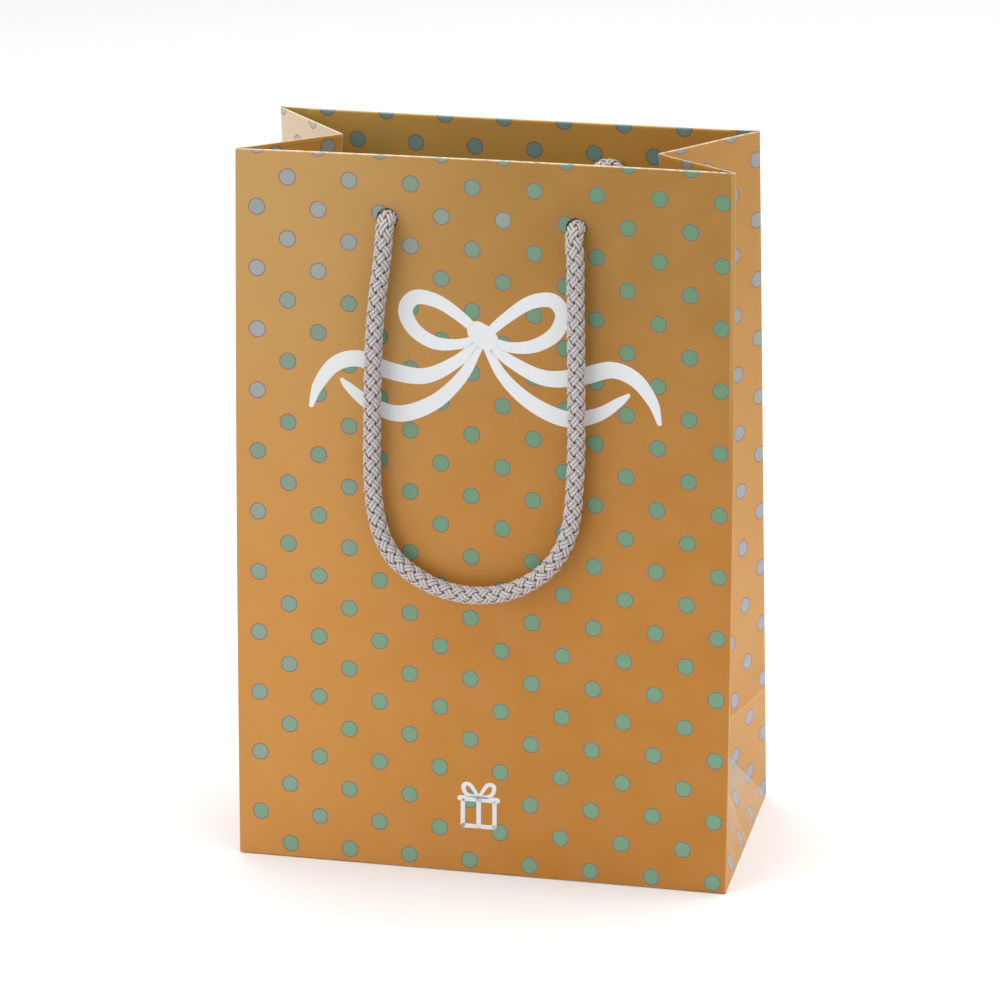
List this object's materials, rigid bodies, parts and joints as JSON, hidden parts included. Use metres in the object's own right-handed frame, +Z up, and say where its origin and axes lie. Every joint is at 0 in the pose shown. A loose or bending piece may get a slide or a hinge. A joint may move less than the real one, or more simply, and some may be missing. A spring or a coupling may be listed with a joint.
{
  "type": "gift bag",
  "caption": "Small upright paper gift bag with folded side gussets, a block base, a turned-in top and two braided rope handles knotted inside.",
  "frame": {"origin": "centre of the bag's footprint, on the surface it stands on", "axes": "+Z up, -Y towards the front panel, +X to the bag's right seen from the front"},
  "size_m": [0.145, 0.074, 0.212],
  "materials": {
    "printed_paper": "satin",
    "printed_turn_in": "satin",
    "plain_paper": "matte",
    "greyboard": "matte",
    "rope": "matte"
  },
  "bodies": {
    "base": {"base_flap_front": "printed_paper", "base_flap_rear": "printed_paper", "base_flap_left": "plain_paper", "base_flap_right": "plain_paper", "base_card": "plain_paper"},
    "front_panel": {"front_panel": "printed_paper", "front_stiffener_card": "greyboard", "front_turn_in": "printed_turn_in", "front_left_knot": "rope", "front_right_knot": "rope"},
    "back_panel": {"back_panel": "printed_paper", "back_stiffener_card": "greyboard", "back_turn_in": "printed_turn_in", "back_left_knot": "rope", "back_right_knot": "rope", "side_seam_flap": "plain_paper"},
    "front_handle": {"front_handle_cord": "rope"},
    "back_handle": {"back_handle_cord": "rope"},
    "right_gusset_front": {"right_gusset_front": "printed_paper", "right_gusset_front_turn_in": "printed_turn_in"},
    "right_gusset_rear": {"right_gusset_rear": "printed_paper", "right_gusset_rear_turn_in": "printed_turn_in"},
    "left_gusset_front": {"left_gusset_front": "printed_paper", "left_gusset_front_turn_in": "printed_turn_in"},
    "left_gusset_rear": {"left_gusset_rear": "printed_paper", "left_gusset_rear_turn_in": "printed_turn_in"},
    "right_foot": {"right_foot_triangle": "printed_paper"},
    "left_foot": {"left_foot_triangle": "printed_paper"}
  },
  "joints": [
    {"name": "front_panel_crease", "type": "hinge", "parent": "base", "child": "front_panel", "pos_m": [0, -0.036, 0], "axis": [-1, 0, 0], "range_deg": [0, 3.5], "stiffness_Nm_per_rad": 1.5},
    {"name": "back_panel_crease", "type": "hinge", "parent": "base", "child": "back_panel", "pos_m": [0, 0.036, 0], "axis": [1, 0, 0], "range_deg": [0, 3.5], "stiffness_Nm_per_rad": 1.5},
    {"name": "right_front_corner_crease", "type": "hinge", "parent": "front_panel", "child": "right_gusset_front", "pos_m": [0.0725, -0.036, 0], "axis": [0, 0.053, 0.9986], "range_deg": [0, 24.8]},
    {"name": "left_front_corner_crease", "type": "hinge", "parent": "front_panel", "child": "left_gusset_front", "pos_m": [-0.0725, -0.036, 0], "axis": [0, -0.053, -0.9986], "range_deg": [0, 24.8]},
    {"name": "right_rear_corner_crease", "type": "hinge", "parent": "back_panel", "child": "right_gusset_rear", "pos_m": [0.0725, 0.036, 0], "axis": [0, 0.053, -0.9986], "range_deg": [0, 24.8]},
    {"name": "left_rear_corner_crease", "type": "hinge", "parent": "back_panel", "child": "left_gusset_rear", "pos_m": [-0.0725, 0.036, 0], "axis": [0, -0.053, 0.9986], "range_deg": [0, 24.8]},
    {"name": "right_foot_crease", "type": "hinge", "parent": "base", "child": "right_foot", "pos_m": [0.0725, 0, 0], "axis": [0, -1, 0], "range_deg": [0, 8.6]},
    {"name": "left_foot_crease", "type": "hinge", "parent": "base", "child": "left_foot", "pos_m": [-0.0725, 0, 0], "axis": [0, 1, 0], "range_deg": [0, 8.6]},
    {"name": "front_handle_swing", "type": "hinge", "parent": "front_panel", "child": "front_handle", "pos_m": [0, -0.02865, 0.19418], "axis": [-1, 0, 0], "range_deg": [0, 170]},
    {"name": "back_handle_swing", "type": "hinge", "parent": "back_panel", "child": "back_handle", "pos_m": [0, 0.02865, 0.19418], "axis": [1, 0, 0], "range_deg": [0, 170]}
  ],
  "couplings": [
    {"joint": "back_panel_crease", "follows": "front_panel_crease", "ratio": 1},
    {"joint": "right_front_corner_crease", "follows": "front_panel_crease", "ratio": 7},
    {"joint": "left_front_corner_crease", "follows": "front_panel_crease", "ratio": 7},
    {"joint": "right_rear_corner_crease", "follows": "front_panel_crease", "ratio": 7},
    {"joint": "left_rear_corner_crease", "follows": "front_panel_crease", "ratio": 7},
    {"joint": "right_foot_crease", "follows": "front_panel_crease", "ratio": 2.4},
    {"joint": "left_foot_crease", "follows": "front_panel_crease", "ratio": 2.4}
  ]
}
